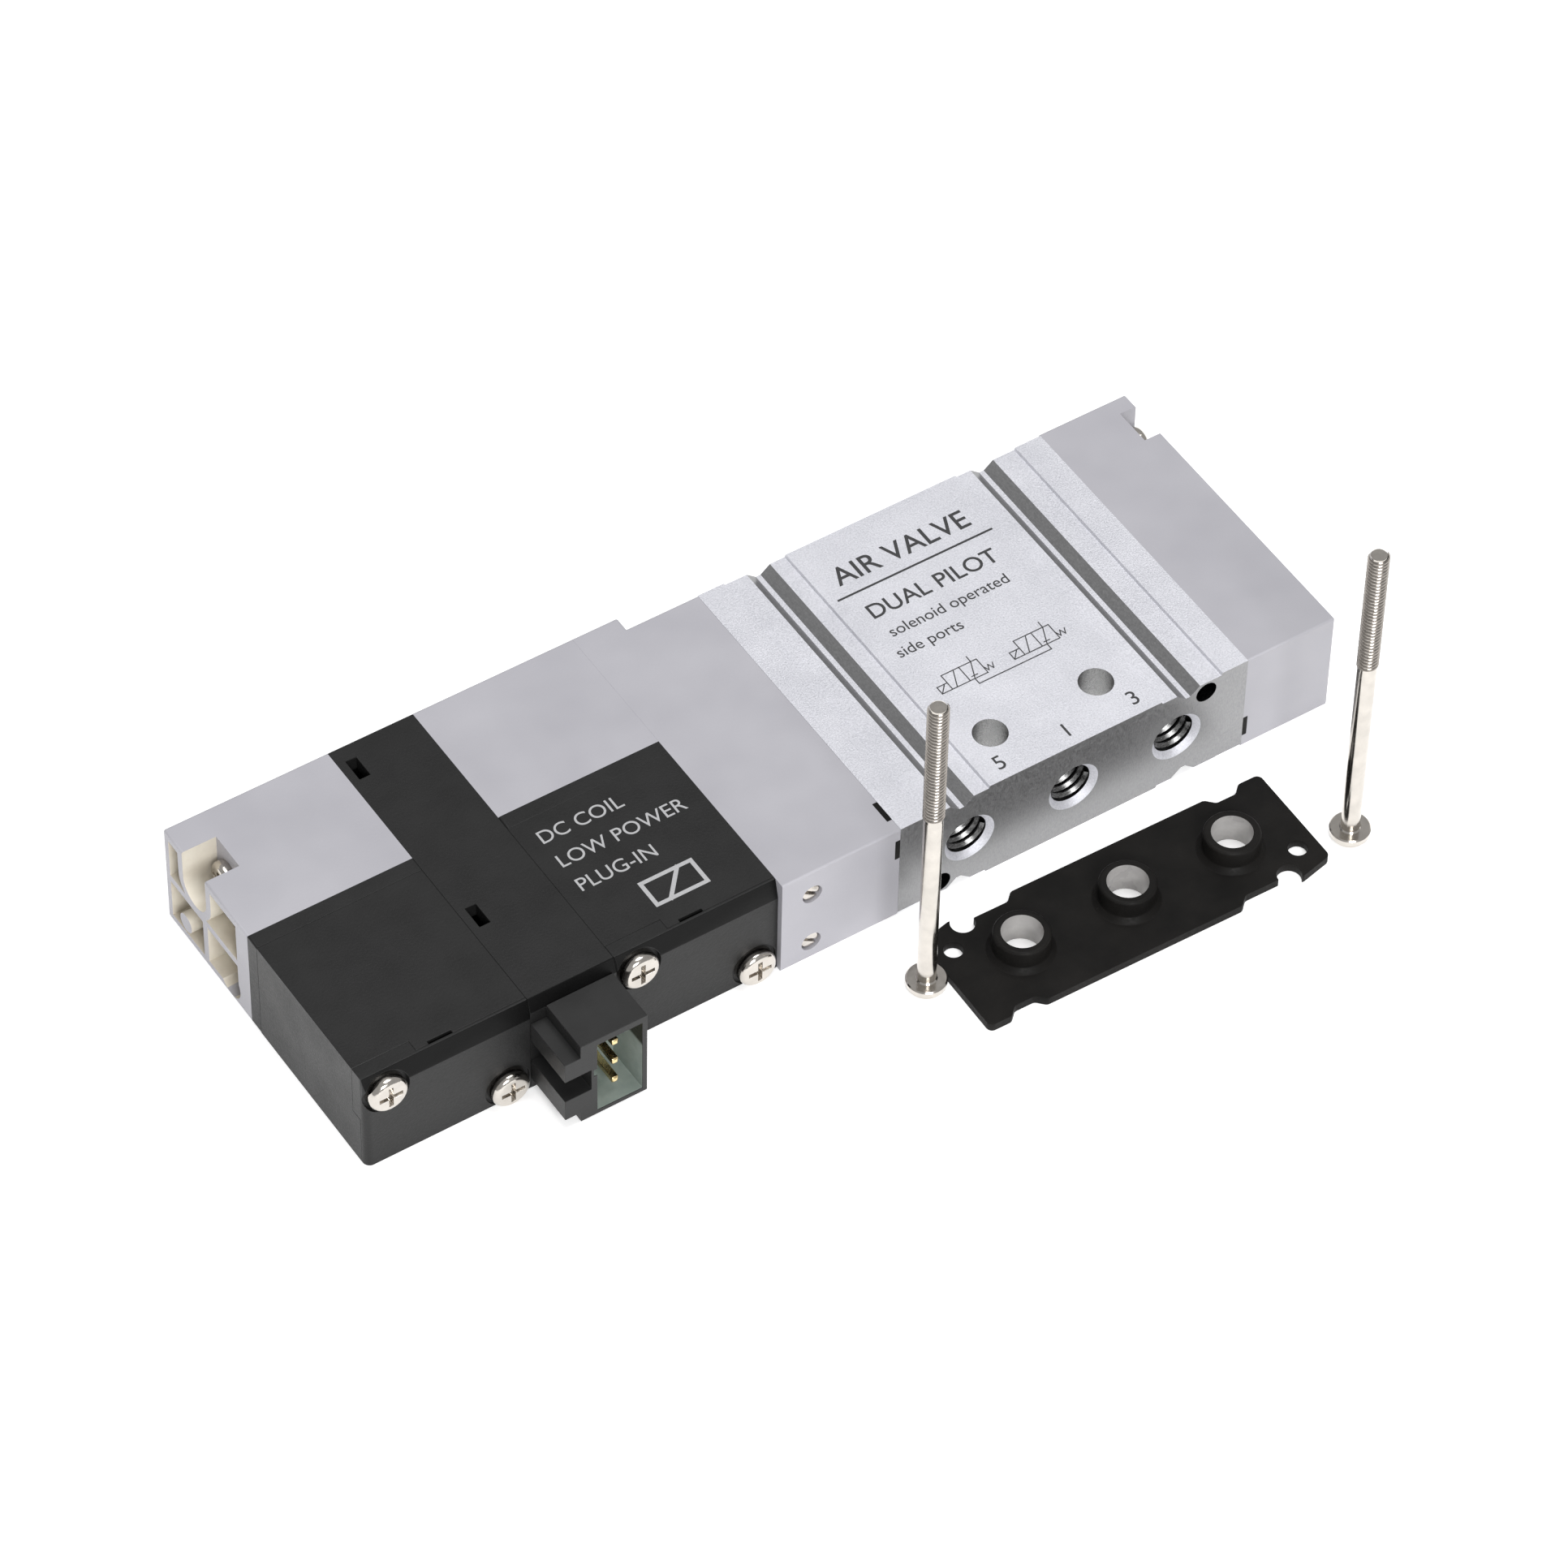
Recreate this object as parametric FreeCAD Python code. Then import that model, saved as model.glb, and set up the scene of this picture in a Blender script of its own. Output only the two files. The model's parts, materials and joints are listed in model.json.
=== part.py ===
import FreeCAD, Part
import math
import os

# Base-mounted 2 x 3/2 pilot solenoid valve, lying on its wide side, with its port gasket and the
# two long mounting screws laid out in front of it. Millimetres.
# +X runs along the valve from the solenoids to the end cap, +Y from the port face to the back,
# +Z up. The origin is the middle of the valve body's underside.

V = FreeCAD.Vector
X = V(1, 0, 0)
Y = V(0, 1, 0)
Z = V(0, 0, 1)

# ---- overall sizes ----
height = 11.5              # thickness of the valve
body_length = 37.4         # aluminium body along X
body_width = 33.0          # port face to back
adapter_length = 12.4
cap_length = 9.6
cap_back_step = 0.2        # end cap stands this far out behind the body
pilot_length = 16.7        # one pilot along X
ledge_length = 4.8         # part of the adapter that reaches back as far as the pilots
strip_length = 8.8         # connector housing between the two pilots
pilot_back_step = 1.6      # pilots stand this far out behind the body
coil_front_step = 0.6      # coils stay this far behind the port face
coil_share_end = 3.6       # y where the black coil ends and the grey pilot body starts

# ---- places worked out from them ----
body_right = body_length / 2
body_left = -body_right
front = -body_width / 2
back = body_width / 2
mid = height / 2
cap_right = body_right + cap_length
adapter_left = body_left - adapter_length
right_pilot_left = adapter_left - pilot_length
strip_left = right_pilot_left - strip_length
left_pilot_left = strip_left - pilot_length
pilot_back = back + pilot_back_step
coil_front = front + coil_front_step

# ---- fits ----
running_fit = 0.05         # radial clearance of spools, pistons, plungers and buttons
seal_fit = 0.03            # radial clearance left round a moving seal
loose_fit = 0.15           # radial clearance round screws and hidden parts
edge_softening = 0.2       # moulded outer edges

# ---- aluminium extrusion profile ----
land_width = 2.8           # outer lands, level with the plastic parts
groove_outer = 13.45       # half distance to the outer lip of the T-slot-like groove
groove_inner = 10.95
groove_slope = 1.0
groove_depth = 1.1
pad_half = 9.25            # raised printed pad
band_drop = 0.25           # bands lie this much under the lands and the pad
step_run = 0.12
under_land_recess = 0.3    # outer lands are shallower on the underside

# ---- air passages ----
bore_radius = 2.75         # main spool bore along X
port_pitch = 11.2
port_radius = 2.1          # M5 tapping hole
port_depth = 5.5           # tapped depth of the supply port
port_depth_step = 0.02      # each port is this much deeper per millimetre along X
port_chamfer = 0.55
port_drill_radius = 1.3    # from the thread down to the bore
supply_drill_radius = 1.8
chamber_radius = 3.3
chamber_half = 1.5
supply_chamber_half = 2.6
centre_land_half = 0.5     # bore land that holds the spring spacer
gallery_radius = 0.5
gallery_offset = 6.5       # y of the two pilot galleries, either side of the bore
gallery_height = 3.5

# ---- holes that fasten the valve down ----
side_hole_radius = 1.65    # M3 clearance, through the wide side
side_hole_spacing = 11.4
side_hole_inset = 5.2      # from the port face
mount_hole_radius = 1.1    # M2 clearance, from the back through to the port face
mount_hole_offset = 14.2
mount_hole_drop = 1.55     # centre from the nearer wide face

# ---- seals between body, adapter and end cap ----
gasket_thickness = 0.5
gasket_inset = 0.9
tab_length = 2.4
tab_from_corner = 1.4

# ---- spools and pistons ----
spool_stroke = 2.0
spool_shaft_radius = 1.9
spool_land_half = 0.75
seal_half = 0.45
seal_root_radius = 2.2
guide_seal_at = 15.2       # distance of each seal from the valve's middle, at rest
exhaust_seal_at = 10.9
supply_seal_at = 3.35
spool_outer_gap = 0.3      # spool end to the body's end face, at rest
spring_hole_radius = 1.4
spring_hole_depth = 7.0
spacer_half = 0.4
spacer_boss_radius = 0.85
spacer_boss_length = 0.6
spring_wire = 0.3
spring_radius = 1.1        # mean radius of the return springs
spring_pitch = 1.5
spring_steps = 12          # facets in one turn of wire
spring_sides = 6           # and round the wire
piston_chamber_radius = 3.9
piston_chamber_depth = 5.3
piston_length = 2.6
piston_end_gap = 0.25
piston_stem_radius = 1.5
piston_seal_root = 3.2

# ---- manual overrides ----
override_from_left = 3.2   # x from the adapter's left face
override_heights = {"upper": 8.5, "lower": 2.1}
override_radius = 0.95
override_length = 5.0
override_recess = 0.25     # button head below the port face
override_bore_depth = 8.0
override_slot = 0.35
override_seal_at = 2.6     # y of the ring from the button's head
override_seal_depth = 0.25
override_spring_wire = 0.2

# ---- solenoids ----
wall = 0.9
cover_thickness = 0.8      # front cover of a coil
cover_boss = 2.0           # its thickness round the upper screw
cover_boss_width = 5.7
cover_slope_drop = 2.1     # polished sloping band along the cover's top
cover_slope_run = 0.5
guide_plate_thickness = 1.6
window_slot_gap = 1.3      # small latch slot behind the cover, from the boss
yoke_thickness = 0.9
yoke_height = 8.6
bobbin_length = 11.6
bobbin_flange = 0.7
bobbin_flange_half = 4.0
bobbin_inner = 2.25
bobbin_tube = 0.45
winding_radius = 3.8
plunger_radius = 2.0
plunger_stroke = 0.4
plunger_gap = 0.1          # left between plunger and core when pulled in
plunger_collar_radius = 2.6
plunger_collar = 0.5
plunger_nose_radius = 1.1
plunger_nose = 0.6
core_length = 5.0
seat_radius = 1.0
seat_orifice = 0.35
seat_height = 1.2
pilot_cavity_radius = 3.0
pilot_cavity_depth = 3.4
plunger_spring_wire = 0.2

# ---- screws ----
m2_radius = 1.0
m2_core_radius = 0.8
head_radius = 1.9
head_height = 1.3
recess_arm = 0.45          # width of the cross recess
recess_depth = 0.7
tie_radius = 0.75
tie_head_radius = 1.6
tie_head_height = 1.1
tie_y = 12.9
tie_z = 8.3
cap_screw_drop = 2.5       # end cap screws from the nearer wide face
second_tie_y = 7.2
second_tie_z = 1.9
tie_grip = 7.0             # how far the tie screws reach into the adapter
short_screw_reach = 2.8    # thread engaged in the aluminium
coil_screw_upper = (2.3, 8.9)     # x from the pilot's left side, z
coil_screw_lower = (2.4, 1.95)    # x from the pilot's right side, z
coil_screw_grip = 2.0      # how far the coil screws reach into the pilot body
coil_screw_recess = {"upper": 0.6, "lower": 0.3}
counterbore_clearance = 0.35

# ---- end notches and the hollow left end ----
notch_half = 2.0
left_notch_depth = 3.5
right_notch_depth = 1.8
pocket_depth = 3.0
pocket_wall = 0.8
pocket_from_coil = 2.1
pip_radius = 1.0

# ---- connector ----
strip_thickness = 1.5
window_width = 1.1
window_length = 2.4
window_from_left = 0.85
window_y = (-5.05, 15.1)
plug_reach = 5.6           # in front of the coils
plug_left_gap = 1.6        # plug body from the strip's left side
plug_right_over = -0.4     # plug body past the strip's right side
plug_over_strip = 0.2      # plug top above the underside of the strip's cover
plug_top = height - strip_thickness + plug_over_strip
plug_bottom = 0.1
plug_wall = 0.5
plug_left_wall = 1.7
plug_roof = 0.8
plug_floor_depth = 4.8
plug_key_bottom = 6.4
plug_key_top = 8.7
plug_flange = (1.3, 3.8)
plug_slot_into = 1.1
pin_pitch = 2.54
pin_width = 0.64
pin_recess = 0.7           # pin tips behind the plug's mouth
pin_length = 9.6
board_thickness = 0.8
board_margin = 0.9         # board edge to the housing's walls

# ---- loose kit: port gasket and mounting screws ----
kit_gasket_length = 36.8
kit_gasket_width = 12.1
kit_gasket_thickness = 0.9
kit_gasket_centre = V(-0.9, -26.5, 0)
kit_gasket_turn = -1.1     # degrees, as it lies
collar_radius = 2.65
collar_hole_radius = 1.9
collar_height = 2.35
collar_rim = 0.3
collar_foot = 0.5
kit_screw_hole_radius = 0.9
kit_screw_hole = (16.4, -3.0)
kit_step = 0.85            # the plate narrows by this much towards its ends
kit_ear_inner = 16.1       # where the corner ear starts
kit_wide_long = 13.2       # full width runs this far one way
kit_wide_short = 8.4       # and this far the other
kit_notch_at = 14.0        # round notch beside the screw hole
kit_notch_radius = 1.15
kit_corner = 0.6
kit_screw_length = 35.7
kit_screw_thread = 14.5
kit_shank_radius = 0.88
kit_screw_left = V(-21.2, -24.8, 0)
kit_screw_right = V(20.7, -30.5, 0)


# ---- helpers ----
def block(x0, x1, y0, y1, z0, z1):
    return Part.makeBox(x1 - x0, y1 - y0, z1 - z0, V(x0, y0, z0))


def rod(radius, start, axis, length):
    return Part.makeCylinder(radius, length, start, axis)


def ring(outer, inner, start, axis, length):
    return rod(outer, start, axis, length).cut(rod(inner, start, axis, length))


def extrude(points, along):
    outline = Part.makePolygon(points + [points[0]])
    return Part.Face(outline).extrude(along)


def softened(shape, radius, wanted):
    edges = [edge for edge in shape.Edges if wanted(edge)]
    return shape.makeFillet(radius, edges)


def runs_along(edge, axis):
    if len(edge.Vertexes) < 2:
        return False
    span = edge.Vertexes[1].Point - edge.Vertexes[0].Point
    return span.Length > 0.1 and abs(abs(span.normalize().dot(axis)) - 1) < 1e-6


def moulded_block(x0, x1, y0, y1, z0, z1, sharp=()):
    """A block with soft edges, apart from those lying in a plane (axis, place) of sharp."""
    def outer(edge):
        middle = edge.CenterOfMass
        return all(abs(middle.dot(axis) - place) > 1e-4 for axis, place in sharp)
    return softened(block(x0, x1, y0, y1, z0, z1), edge_softening, outer)


def triangle(a, b, c):
    return Part.Face(Part.makePolygon([a, b, c, a]))


def coil_spring(start, axis, length, radius, wire, pitch):
    """A wire helix with flat facets that fills length along axis from start."""
    count = max(2, round((length - wire) / pitch * spring_steps))
    sections = []
    for step in range(count + 1):
        angle = 2 * math.pi * step / spring_steps
        outwards = V(math.cos(angle), math.sin(angle), 0)
        middle = outwards * radius + Z * (wire / 2 + (length - wire) * step / count)
        corners = []
        for side in range(spring_sides):
            turn = 2 * math.pi * side / spring_sides
            corners.append(middle + outwards * (wire / 2 * math.cos(turn)) + Z * (wire / 2 * math.sin(turn)))
        sections.append(corners)
    faces = []
    for near, far in zip(sections, sections[1:]):
        for side in range(spring_sides):
            after = (side + 1) % spring_sides
            faces.append(triangle(near[side], near[after], far[side]))
            faces.append(triangle(near[after], far[after], far[side]))
    for corners in (sections[0], sections[-1]):
        faces.append(Part.Face(Part.makePolygon(corners + [corners[0]])))
    spring = Part.makeSolid(Part.makeShell(faces))
    if spring.Volume < 0:
        spring.reverse()
    spring.Placement = FreeCAD.Placement(start, FreeCAD.Rotation(Z, axis))
    return spring


def cross_recess(centre, axis, depth, width, reach):
    """The two slots of a cross recess, cut inwards against axis from centre."""
    turn = FreeCAD.Rotation(Z, axis)
    slots = []
    for along, across in ((reach, width / 2), (width / 2, reach)):
        slot = block(-along, along, -across, across, -depth, depth)
        slot.Placement = FreeCAD.Placement(centre, turn)
        slots.append(slot)
    return slots[0].fuse(slots[1])


def pan_screw(seat, axis, shank_radius, length, head_r, head_h):
    """A screw whose head stands on seat and whose shank runs the other way along axis."""
    shank = rod(shank_radius, seat - axis * length, axis, length)
    head = rod(head_r, seat, axis, head_h)
    top = seat + axis * head_h
    head = softened(head, head_h * 0.45, lambda edge: abs((edge.CenterOfMass - top).dot(axis)) < 1e-6)
    screw = shank.fuse(head).removeSplitter()
    return screw.cut(cross_recess(top, axis, recess_depth, recess_arm, head_r * 0.62))


def export(name, shape):
    shape.exportStep("parts/" + name + ".step")


# ---- places shared by parts that meet ----
def mount_hole_spots():
    """x and z of the two holes for the long mounting screws, on one diagonal."""
    return ((-mount_hole_offset, mount_hole_drop), (mount_hole_offset, height - mount_hole_drop))


def adapter_screw_spots():
    return ((tie_y, second_tie_z + 0.6), (-tie_y - 0.4, mid - 0.4))


def cap_screw_spots():
    return ((tie_y, height - cap_screw_drop), (-tie_y, cap_screw_drop))


def override_spots():
    x = adapter_left + override_from_left
    return {side: (x, z) for side, z in override_heights.items()}


def coil_screw_spots(pilot_left):
    return {
        "upper": (pilot_left + coil_screw_upper[0], coil_screw_upper[1]),
        "lower": (pilot_left + pilot_length - coil_screw_lower[0], coil_screw_lower[1]),
    }


def pilots():
    return {"left": left_pilot_left, "right": right_pilot_left}


# ---- aluminium body ----
def profile_half(top, land):
    """Points of one wide face from the right edge to the pad, for z = top going down by drops."""
    band = top - band_drop
    floor = top - groove_depth
    inner_land = body_right - land_width
    return [
        (body_right, top - land),
        (inner_land, top - land),
        (inner_land - step_run, band),
        (groove_outer, band),
        (groove_outer - groove_slope, floor),
        (groove_inner + groove_slope, floor),
        (groove_inner, band),
        (pad_half + step_run, band),
        (pad_half, top),
    ]


def extrusion():
    upper = profile_half(height, 0)
    lower = [(x, height - z) for x, z in profile_half(height, under_land_recess)]
    loop = [(x, z) for x, z in upper] + [(-x, z) for x, z in reversed(upper)]
    loop += [(-x, z) for x, z in lower] + [(x, z) for x, z in reversed(lower)]
    return extrude([V(x, front, z) for x, z in loop], V(0, body_width, 0))


def port_cut(x, inwards, drill):
    """A tapped port with a chamfered mouth, and its drilling to the bore."""
    mouth = V(x, -inwards * back, mid)
    axis = Y * inwards
    tool = rod(port_radius, mouth, axis, port_depth + port_depth_step * x)
    wide = port_radius + port_chamfer
    tool = tool.fuse(Part.makeCone(wide, port_radius, port_chamfer, mouth, axis))
    return tool.fuse(rod(drill, mouth, axis, back))


def chamber_spans():
    """From and to along X of the wider chambers in the bore."""
    spans = []
    for x in (-port_pitch, -port_pitch / 2, port_pitch / 2, port_pitch):
        spans.append((x - chamber_half, x + chamber_half))
    spans.append((-supply_chamber_half, -centre_land_half))
    spans.append((centre_land_half, supply_chamber_half))
    return spans


def galleries(x0, x1):
    tools = [rod(gallery_radius, V(x0, side * gallery_offset, gallery_height), X, x1 - x0) for side in (-1, 1)]
    return tools[0].fuse(tools[1])


def valve_body():
    body = extrusion()
    cuts = [rod(bore_radius, V(body_left, 0, mid), X, body_length)]
    cuts += [rod(chamber_radius, V(a, 0, mid), X, b - a) for a, b in chamber_spans()]
    cuts += [port_cut(x, 1, port_drill_radius) for x in (-port_pitch, port_pitch)]
    cuts.append(port_cut(0, 1, supply_drill_radius))
    cuts += [port_cut(x, -1, port_drill_radius) for x in (-port_pitch / 2, port_pitch / 2)]
    for side in (-1, 1):
        spot = V(side * side_hole_spacing / 2, front + side_hole_inset, 0)
        cuts.append(rod(side_hole_radius, spot, Z, height))
    cuts += [rod(mount_hole_radius, V(x, front, z), Y, body_width) for x, z in mount_hole_spots()]
    cuts.append(galleries(body_left, body_right))
    cuts += [rod(m2_core_radius, V(body_left, y, z), X, short_screw_reach) for y, z in adapter_screw_spots()]
    end = body_right - short_screw_reach
    cuts += [rod(m2_core_radius, V(end, y, z), X, short_screw_reach) for y, z in cap_screw_spots()]
    for cut in cuts:
        body = body.cut(cut)
    return body


# ---- gaskets at the two ends of the body ----
def end_gasket_outline(x0, flipped):
    """Gasket sheet from x0 with its two tabs, near the top edge, or flipped to the bottom edge."""
    def span(z0, z1):
        return (height - z1, height - z0) if flipped else (z0, z1)

    x1 = x0 + gasket_thickness
    sheet = block(x0, x1, front + gasket_inset, back - gasket_inset, gasket_inset, height - gasket_inset)
    tab_start = front + tab_from_corner
    wide_tab = block(x0, x1, tab_start, tab_start + tab_length, *span(mid, height))
    front_top = height - tab_from_corner
    front_tab = block(x0, x1, front, 0, *span(front_top - tab_length, front_top))
    return sheet.fuse([wide_tab, front_tab]).removeSplitter()


def gasket_holes(x0):
    holes = rod(piston_chamber_radius, V(x0, 0, mid), X, gasket_thickness)
    holes = holes.fuse(galleries(x0, x0 + gasket_thickness))
    return holes


def end_gasket(x0, flipped, spots):
    sheet = end_gasket_outline(x0, flipped).cut(gasket_holes(x0))
    for y, z in spots:
        sheet = sheet.cut(rod(m2_radius + loose_fit, V(x0, y, z), X, gasket_thickness))
    return sheet


# ---- adapter with the manual overrides ----
def adapter():
    right = body_left
    shape = moulded_block(adapter_left, right, front, back, 0, height, [(X, adapter_left), (X, right)])
    ledge = moulded_block(adapter_left, adapter_left + ledge_length, mid, pilot_back, 0, height,
                          [(X, adapter_left), (Y, mid)])
    shape = shape.fuse(ledge).removeSplitter()
    cuts = [rod(piston_chamber_radius, V(right, 0, mid), X * -1, piston_chamber_depth)]
    cuts.append(end_gasket_outline(right - gasket_thickness, False))
    for x, z in override_spots().values():
        cuts.append(rod(override_radius + running_fit, V(x, front, z), Y, override_bore_depth))
    for y, z in adapter_screw_spots():
        cuts.append(rod(m2_radius + loose_fit, V(adapter_left, y, z), X, adapter_length))
        cuts.append(rod(head_radius + loose_fit, V(adapter_left, y, z), X, head_height + running_fit))
    for y, z in tie_spots():
        cuts.append(rod(tie_radius, V(adapter_left, y, z), X, tie_grip))
    cuts.append(galleries(adapter_left, right))
    cuts.append(rod(gallery_radius, V(adapter_left, 0, mid), X, adapter_length))
    for cut in cuts:
        shape = shape.cut(cut)
    return shape


def end_cap():
    cap_back = back + cap_back_step
    shape = moulded_block(body_right, cap_right, front, cap_back, 0, height, [(X, body_right)])
    cuts = [rod(piston_chamber_radius, V(body_right, 0, mid), X, piston_chamber_depth)]
    cuts.append(end_gasket_outline(body_right, True))
    cuts.append(rod(gallery_radius, V(body_right, gallery_offset, gallery_height), X, piston_chamber_depth))
    link = V(body_right + piston_chamber_depth - 2 * gallery_radius, 0, gallery_height)
    cuts.append(rod(gallery_radius, link, Y, gallery_offset))
    seat_x = cap_right - right_notch_depth
    for y, z in cap_screw_spots():
        cuts.append(rod(m2_radius + loose_fit, V(body_right, y, z), X, cap_length))
    back_spot, front_spot = cap_screw_spots()
    cuts.append(notch(seat_x, right_notch_depth, back_spot, 1))
    cuts.append(notch(seat_x, right_notch_depth, front_spot, -1))
    for cut in cuts:
        shape = shape.cut(cut)
    return shape


def notch(x0, depth, spot, opens):
    """A round-bottomed notch in an end face round a screw head, open upwards (1) or downwards (-1)."""
    y, z = spot
    trough = rod(notch_half, V(x0, y, z), X, depth)
    if opens > 0:
        return trough.fuse(block(x0, x0 + depth, y - notch_half, y + notch_half, z, height))
    return trough.fuse(block(x0, x0 + depth, y - notch_half, y + notch_half, 0, z))


# ---- spools, springs and pilot pistons; side is -1 for the left set, 1 for the right ----
def along(side, distance):
    """The point on the bore's axis at a distance from the valve's middle."""
    return V(side * distance, 0, mid)


def disc(side, radius, near, far):
    """A round slice of the bore's axis between two distances from the valve's middle."""
    return rod(radius, along(side, near), X * side, far - near)


def spool(side):
    inner_end = supply_seal_at - spool_land_half
    outer_end = body_right - spool_outer_gap
    shape = disc(side, spool_shaft_radius, inner_end, outer_end)
    land_radius = bore_radius - running_fit
    for place in (supply_seal_at, exhaust_seal_at, guide_seal_at):
        shape = shape.fuse(disc(side, land_radius, place - spool_land_half, place + spool_land_half))
    for place in (supply_seal_at, exhaust_seal_at, guide_seal_at):
        slot = disc(side, bore_radius, place - seal_half, place + seal_half)
        shape = shape.cut(slot.cut(disc(side, seal_root_radius, place - seal_half, place + seal_half)))
    return shape.cut(disc(side, spring_hole_radius, inner_end, inner_end + spring_hole_depth))


def seal_ring(side, place, half, outer, root):
    shape = disc(side, outer, place - half, place + half)
    shape = softened(shape, half * 0.7, lambda edge: len(edge.Vertexes) == 1)
    return shape.cut(disc(side, root, place - half, place + half))


def spool_seals(side):
    outer = bore_radius - seal_fit
    places = (supply_seal_at, exhaust_seal_at, guide_seal_at)
    return Part.Compound([seal_ring(side, place, seal_half, outer, seal_root_radius) for place in places])


def spring_spacer():
    shape = rod(bore_radius, V(-spacer_half, 0, mid), X, 2 * spacer_half)
    reach = spacer_half + spacer_boss_length
    return shape.fuse(rod(spacer_boss_radius, V(-reach, 0, mid), X, 2 * reach)).removeSplitter()


def return_spring(side):
    inner_end = supply_seal_at - spool_land_half
    length = inner_end + spring_hole_depth - spacer_half
    return coil_spring(along(side, spacer_half), X * side, length, spring_radius, spring_wire, spring_pitch)


def piston_face():
    """Distance of the piston's inner face from the valve's middle, at rest."""
    return body_right + spool_stroke + piston_end_gap


def piston(side):
    near = piston_face()
    far = near + piston_length
    radius = piston_chamber_radius - running_fit
    shape = disc(side, radius, near, far)
    stem = disc(side, piston_stem_radius, body_right - spool_outer_gap, near)
    middle = (near + far) / 2
    slot = disc(side, radius, middle - seal_half, middle + seal_half)
    slot = slot.cut(disc(side, piston_seal_root, middle - seal_half, middle + seal_half))
    return shape.fuse(stem).removeSplitter().cut(slot)


def piston_seal(side):
    middle = piston_face() + piston_length / 2
    return seal_ring(side, middle, seal_half, piston_chamber_radius - seal_fit, piston_seal_root)


# ---- manual overrides ----
def override_head(side_name):
    x, z = override_spots()[side_name]
    return V(x, front + override_recess, z)


def override_button(side_name):
    head = override_head(side_name)
    shape = rod(override_radius, head, Y, override_length)
    shape = softened(shape, 0.15, lambda edge: abs(edge.CenterOfMass.y - head.y) < 1e-6)
    ring_at = head + Y * (override_seal_at - override_seal_depth)
    groove = ring(override_radius, override_radius - override_seal_depth, ring_at, Y, 2 * override_seal_depth)
    slot_half = override_slot / 2
    slot = block(head.x - override_radius, head.x + override_radius, head.y - 1, head.y + override_slot,
                 head.z - slot_half, head.z + slot_half)
    slot.rotate(head, Y, 35)
    return shape.cut(groove).cut(slot)


def override_seal(side_name):
    head = override_head(side_name)
    start = head + Y * (override_seal_at - override_seal_depth)
    outer = override_radius + running_fit - seal_fit / 2
    return ring(outer, override_radius - override_seal_depth, start, Y, 2 * override_seal_depth)


def override_spring(side_name):
    head = override_head(side_name)
    start = head + Y * override_length
    length = front + override_bore_depth - start.y
    return coil_spring(start, Y, length, override_radius * 0.65, override_spring_wire, length / 4)


# ---- pilot solenoids; left is the x of the pilot's left side ----
def coil_axis(left):
    return left + pilot_length / 2


def tie_spots():
    return ((tie_y, tie_z), (second_tie_y, second_tie_z))


def end_pockets(left):
    """Moulded hollows in the far end face, above and below a rib, clear of the screw notch."""
    y0 = coil_share_end + pocket_from_coil
    y1 = pilot_back - pocket_wall
    rib_half = pocket_wall / 2
    upper = block(left, left + pocket_depth, y0, y1, mid + rib_half, height - pocket_wall)
    keep = rod(notch_half + pocket_wall, V(left, tie_y, tie_z), X, pocket_depth)
    side = notch_half + pocket_wall
    keep = keep.fuse(block(left, left + pocket_depth, tie_y - side, tie_y + side, tie_z, height))
    lower = block(left, left + pocket_depth, y0, y1, pocket_wall, mid - rib_half)
    web = block(left, left + pocket_depth, tie_y - rib_half * 5, tie_y - rib_half * 3, 0, mid)
    return upper.cut(keep).fuse(lower.cut(web))


def pilot_body(name):
    left = pilots()[name]
    right = left + pilot_length
    start = coil_share_end
    sharp = [(X, right), (Y, start)] if name == "left" else [(X, right), (X, left), (Y, start)]
    shape = moulded_block(left, right, start, pilot_back, 0, height, sharp)
    x = coil_axis(left)
    cuts = [rod(pilot_cavity_radius, V(x, start, mid), Y, pilot_cavity_depth)]
    seat_base = start + pilot_cavity_depth
    cuts.append(rod(gallery_radius, V(x, seat_base, mid), Y, gallery_offset))
    for y, z in tie_spots():
        cuts.append(rod(tie_radius + loose_fit, V(left, y, z), X, pilot_length))
    for sx, sz in coil_screw_spots(left).values():
        cuts.append(rod(m2_core_radius, V(sx, start, sz), Y, coil_screw_end() - start))
    if name == "left":
        cuts.append(notch(left, left_notch_depth, (tie_y, tie_z), 1))
        cuts.append(end_pockets(left))
        cuts.append(rod(tie_head_radius + loose_fit, V(left, second_tie_y, second_tie_z), X, left_notch_depth))
    for cut in cuts:
        shape = shape.cut(cut)
    if name == "left":
        pip = rod(pip_radius, V(left, tie_y + pip_radius * 2, pip_radius * 2), X, pocket_depth)
        shape = shape.fuse(pip)
    return shape.removeSplitter()


def coil_screw_seat(place):
    return coil_front + coil_screw_recess[place]


def coil_screw_end():
    """How far back the coil screws reach."""
    return coil_share_end + coil_screw_grip


def coil_screw_clearances(left, y0, y1):
    """Screw holes through a coil part between y0 and y1."""
    holes = []
    for x, z in coil_screw_spots(left).values():
        holes.append(rod(m2_radius + loose_fit, V(x, y0, z), Y, y1 - y0))
    return holes


def guide_plate(name):
    left = pilots()[name]
    y0 = coil_share_end - guide_plate_thickness
    shape = moulded_block(left, left + pilot_length, y0, coil_share_end, 0, height,
                          [(Y, coil_share_end), (Y, y0), (X, left + pilot_length)])
    x = coil_axis(left)
    shape = shape.cut(rod(plunger_collar_radius + loose_fit, V(x, y0, mid), Y, guide_plate_thickness))
    for hole in coil_screw_clearances(left, y0, coil_share_end):
        shape = shape.cut(hole)
    return shape


def cover_boss_block(left):
    low = height - cover_boss_width
    return block(left, left + cover_boss_width, coil_front, coil_front + cover_boss, low, height)


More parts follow.
